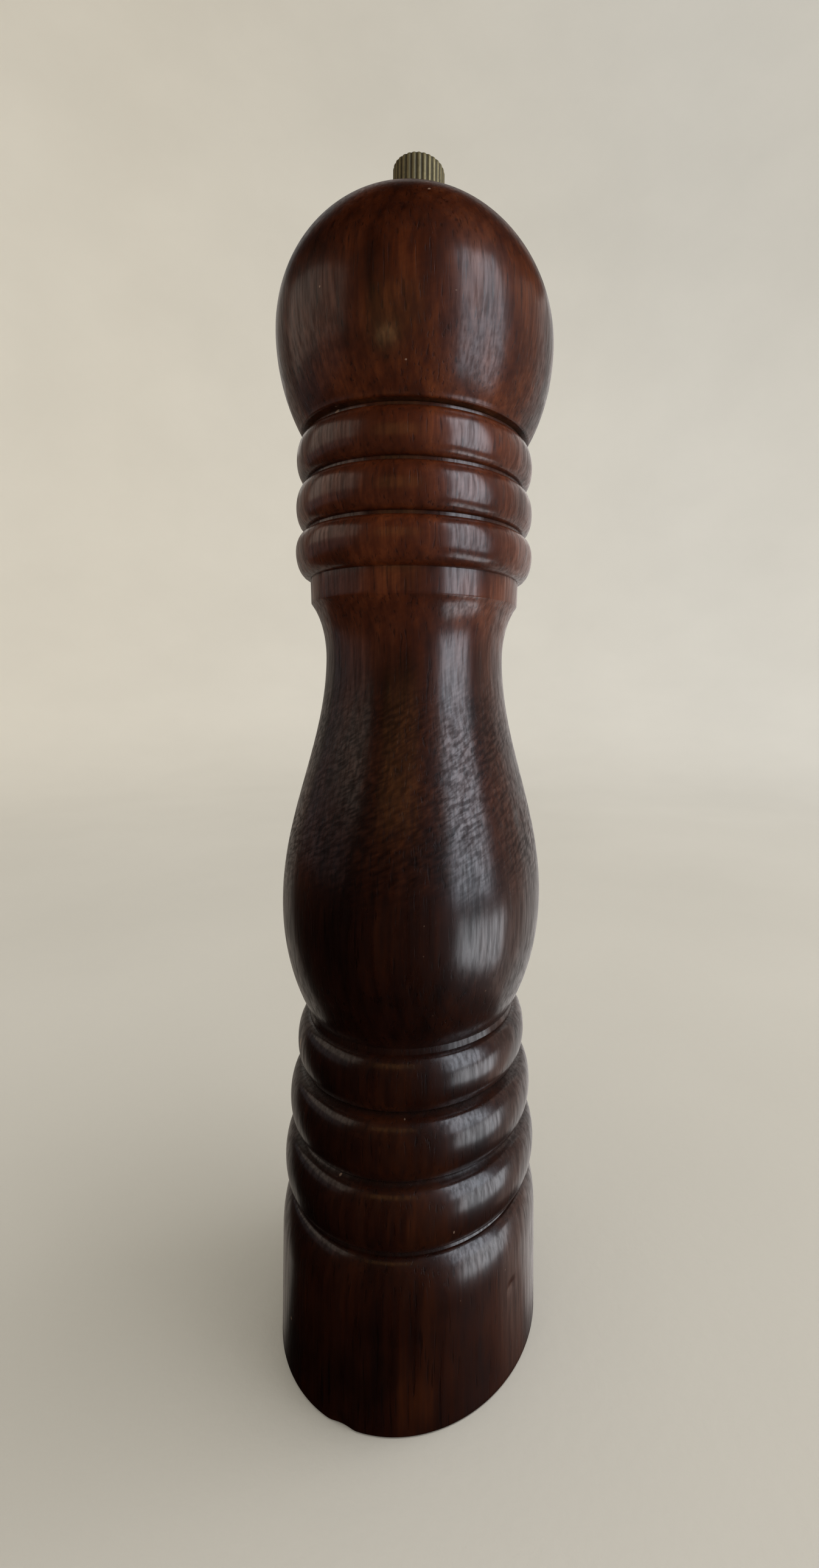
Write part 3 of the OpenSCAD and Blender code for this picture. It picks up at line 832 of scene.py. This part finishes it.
def brass_nut(name):
    """Aged brass that is darkest at the bottom of the knurling, with dark specks."""
    m = Material(name)
    valley = m.attribute("valley")
    patches = m.noise(420.0, 5.0, 0.65)
    specks = m.noise(2600.0, 3.0, 0.6)
    film = m.math("ADD", m.math("MULTIPLY", valley, 0.65), m.math("MULTIPLY", patches, 0.5))
    shades = [(0.22, (0.20, 0.165, 0.080)), (0.5, (0.12, 0.100, 0.050)), (0.85, (0.050, 0.042, 0.023))]
    colour = m.ramp(film, shades)
    colour = m.mix(m.ramp(specks, [(0.55, 0.0), (0.75, 0.6)]), colour, (0.055, 0.045, 0.024))
    m.set(base_color=colour, metallic=0.6, roughness=m.ramp(film, [(0.2, 0.42), (0.8, 0.66)]))
    m.bump((patches, 0.04 * MM), (specks, 0.012 * MM))
    return m.material


def plastic(name, colour, shade, roughness):
    """Matt nylon or fibre, slightly cloudy between two colours."""
    m = Material(name)
    cloud = m.noise(140.0, 4.0, 0.6)
    m.set(base_color=m.ramp(cloud, [(0.3, shade), (0.7, colour)]))
    m.set(roughness=m.ramp(m.noise(900.0, 3.0, 0.6), [(0.3, roughness - 0.08), (0.7, roughness + 0.1)]))
    m.bump((m.noise(1600.0, 3.0, 0.6), 0.015 * MM))
    return m.material


def paint(piece, material):
    piece.data.materials.clear()
    piece.data.materials.append(material)


def soften(node, width):
    """A small bevel on a CAD node's hard edges, as a modifier."""
    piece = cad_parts[node]
    bevel = piece.modifiers.new("edge", "BEVEL")
    bevel.width = width
    bevel.segments = 2
    bevel.limit_method = "ANGLE"
    bevel.angle_limit = math.radians(40)


# ---------------------------------------------------------------- floor

FLOOR_Z = -0.1 * MM
FLOOR_R = 0.7
SWEEP_R = 0.6
CEILING_Z = 3.2
STAGE_COLUMNS = 96


def stage_mesh():
    """A round floor that curves up into a wall and closes overhead, facing inwards."""
    profile = [(FLOOR_R / 2, 0.0), (FLOOR_R, 0.0)]
    for t in np.radians(np.arange(6, 91, 6)):
        profile.append((FLOOR_R + SWEEP_R * math.sin(t), SWEEP_R - SWEEP_R * math.cos(t)))
    profile += [(FLOOR_R + SWEEP_R, CEILING_Z), (SWEEP_R, CEILING_Z)]
    angle = 2 * math.pi * np.arange(STAGE_COLUMNS) / STAGE_COLUMNS
    rings = [(z + FLOOR_Z, np.full(STAGE_COLUMNS, r)) for r, z in profile]
    floor = new_object("floor", ring_points(rings, angle), grid_faces(len(rings), STAGE_COLUMNS), 60)
    close_ends(floor, STAGE_COLUMNS)
    floor.data.flip_normals()
    return floor


def plaster():
    """Pale plaster, seen only from its front, so that the floor is clear from below."""
    m = Material("pale_plaster")
    cloud = [(0.3, (0.565, 0.555, 0.525)), (0.7, (0.605, 0.595, 0.565))]
    m.set(base_color=m.ramp(m.noise(6.0, 3.0, 0.5), cloud), roughness=0.85)
    m.bump((m.noise(320.0, 4.0, 0.6), 0.12 * MM))
    # It glows a little, least near the mill's axis, cream on the left and cooler on the right
    place = m.node("ShaderNodeSeparateXYZ", {"Vector": m.coordinates})
    x, y = place.outputs["X"], place.outputs["Y"]
    across = m.math("MULTIPLY_ADD", x, 0.7, 0.5)
    m.set(emission_color=m.ramp(across, [(0.1, (1.0, 0.91, 0.76)), (0.9, (0.98, 0.97, 0.93))]))
    m.set(emission_strength=m.ramp(m.axis_distance(x, y), [(0.05, 0.04), (0.35, 0.09), (1.0, 0.25)]))
    under = m.node("ShaderNodeNewGeometry").outputs["Backfacing"]
    clear = m.node("ShaderNodeBsdfTransparent").outputs[0]
    both = m.node("ShaderNodeMixShader", {0: under, 1: m.shader.outputs[0], 2: clear})
    m.tree.links.new(both.outputs[0], m.tree.nodes["Material Output"].inputs["Surface"])
    return m.material


def make_stage():
    floor = stage_mesh()
    paint(floor, plaster())
    floor.visible_glossy = False
    floor.visible_shadow = False
    return floor


# ---------------------------------------------------------------- the whole mill

make_camera()
make_world()
lit_by_lamp = make_lights(make_stage())

body_wood = wood(
    "dark_stained_wood",
    light=(0.092, 0.021, 0.0050),
    dark=(0.048, 0.0095, 0.0022),
    deep=(0.016, 0.0030, 0.0008),
    gloss=1.0,
)
head_wood = wood(
    "red_stained_wood",
    light=(0.096, 0.0225, 0.0050),
    dark=(0.044, 0.0086, 0.0018),
    deep=(0.013, 0.0024, 0.0006),
    gloss=0.58,
)
plated = metal("plated_steel", (0.66, 0.65, 0.61), (0.40, 0.38, 0.33), 0.34, (1, 0.05, 1))
drawn = metal("drawn_bar", (0.78, 0.78, 0.76), (0.52, 0.51, 0.48), 0.28, (1, 1, 0.03), tarnish=0.3)
burr = metal("hardened_steel", (0.34, 0.33, 0.32), (0.15, 0.125, 0.10), 0.42, tarnish=0.8)
wire = metal("spring_wire", (0.58, 0.58, 0.57), (0.34, 0.33, 0.31), 0.26, tarnish=0.3)
screw_brass = metal("screw_brass", (0.66, 0.50, 0.22), (0.36, 0.27, 0.13), 0.36, tarnish=0.7)

paint(make_body(), body_wood)
turned_head = make_head()
lit_by_lamp.objects.link(turned_head)
paint(turned_head, head_wood)
paint(make_finial(), brass_nut("aged_brass"))
paint(make_shaft(), drawn)
paint(make_spring(), wire)
paint(make_crossbar_screws(), screw_brass)
paint(make_plate_screws(), plated)

for node, material, edge in (
    ("drive_plate", plated, 0.15),
    ("bearing_bridge", plated, 0.12),
    ("crossbar", plated, 0.15),
    ("upper_spring_washer", plated, 0.08),
    ("lower_spring_washer", plated, 0.08),
    ("thrust_washer", plated, 0.08),
    ("shaft_clip", wire, 0.05),
    ("bridge_rivets", drawn, 0.08),
    ("male_burr", burr, 0.04),
    ("female_burr", burr, 0.04),
    ("shaft_bush", plastic("nylon", (0.78, 0.75, 0.66), (0.66, 0.61, 0.50), 0.45), 0.10),
    ("finial_washer", plastic("red_fibre", (0.34, 0.10, 0.06), (0.22, 0.06, 0.04), 0.70), 0.06),
):
    paint(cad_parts[node], material)
    soften(node, edge * MM)
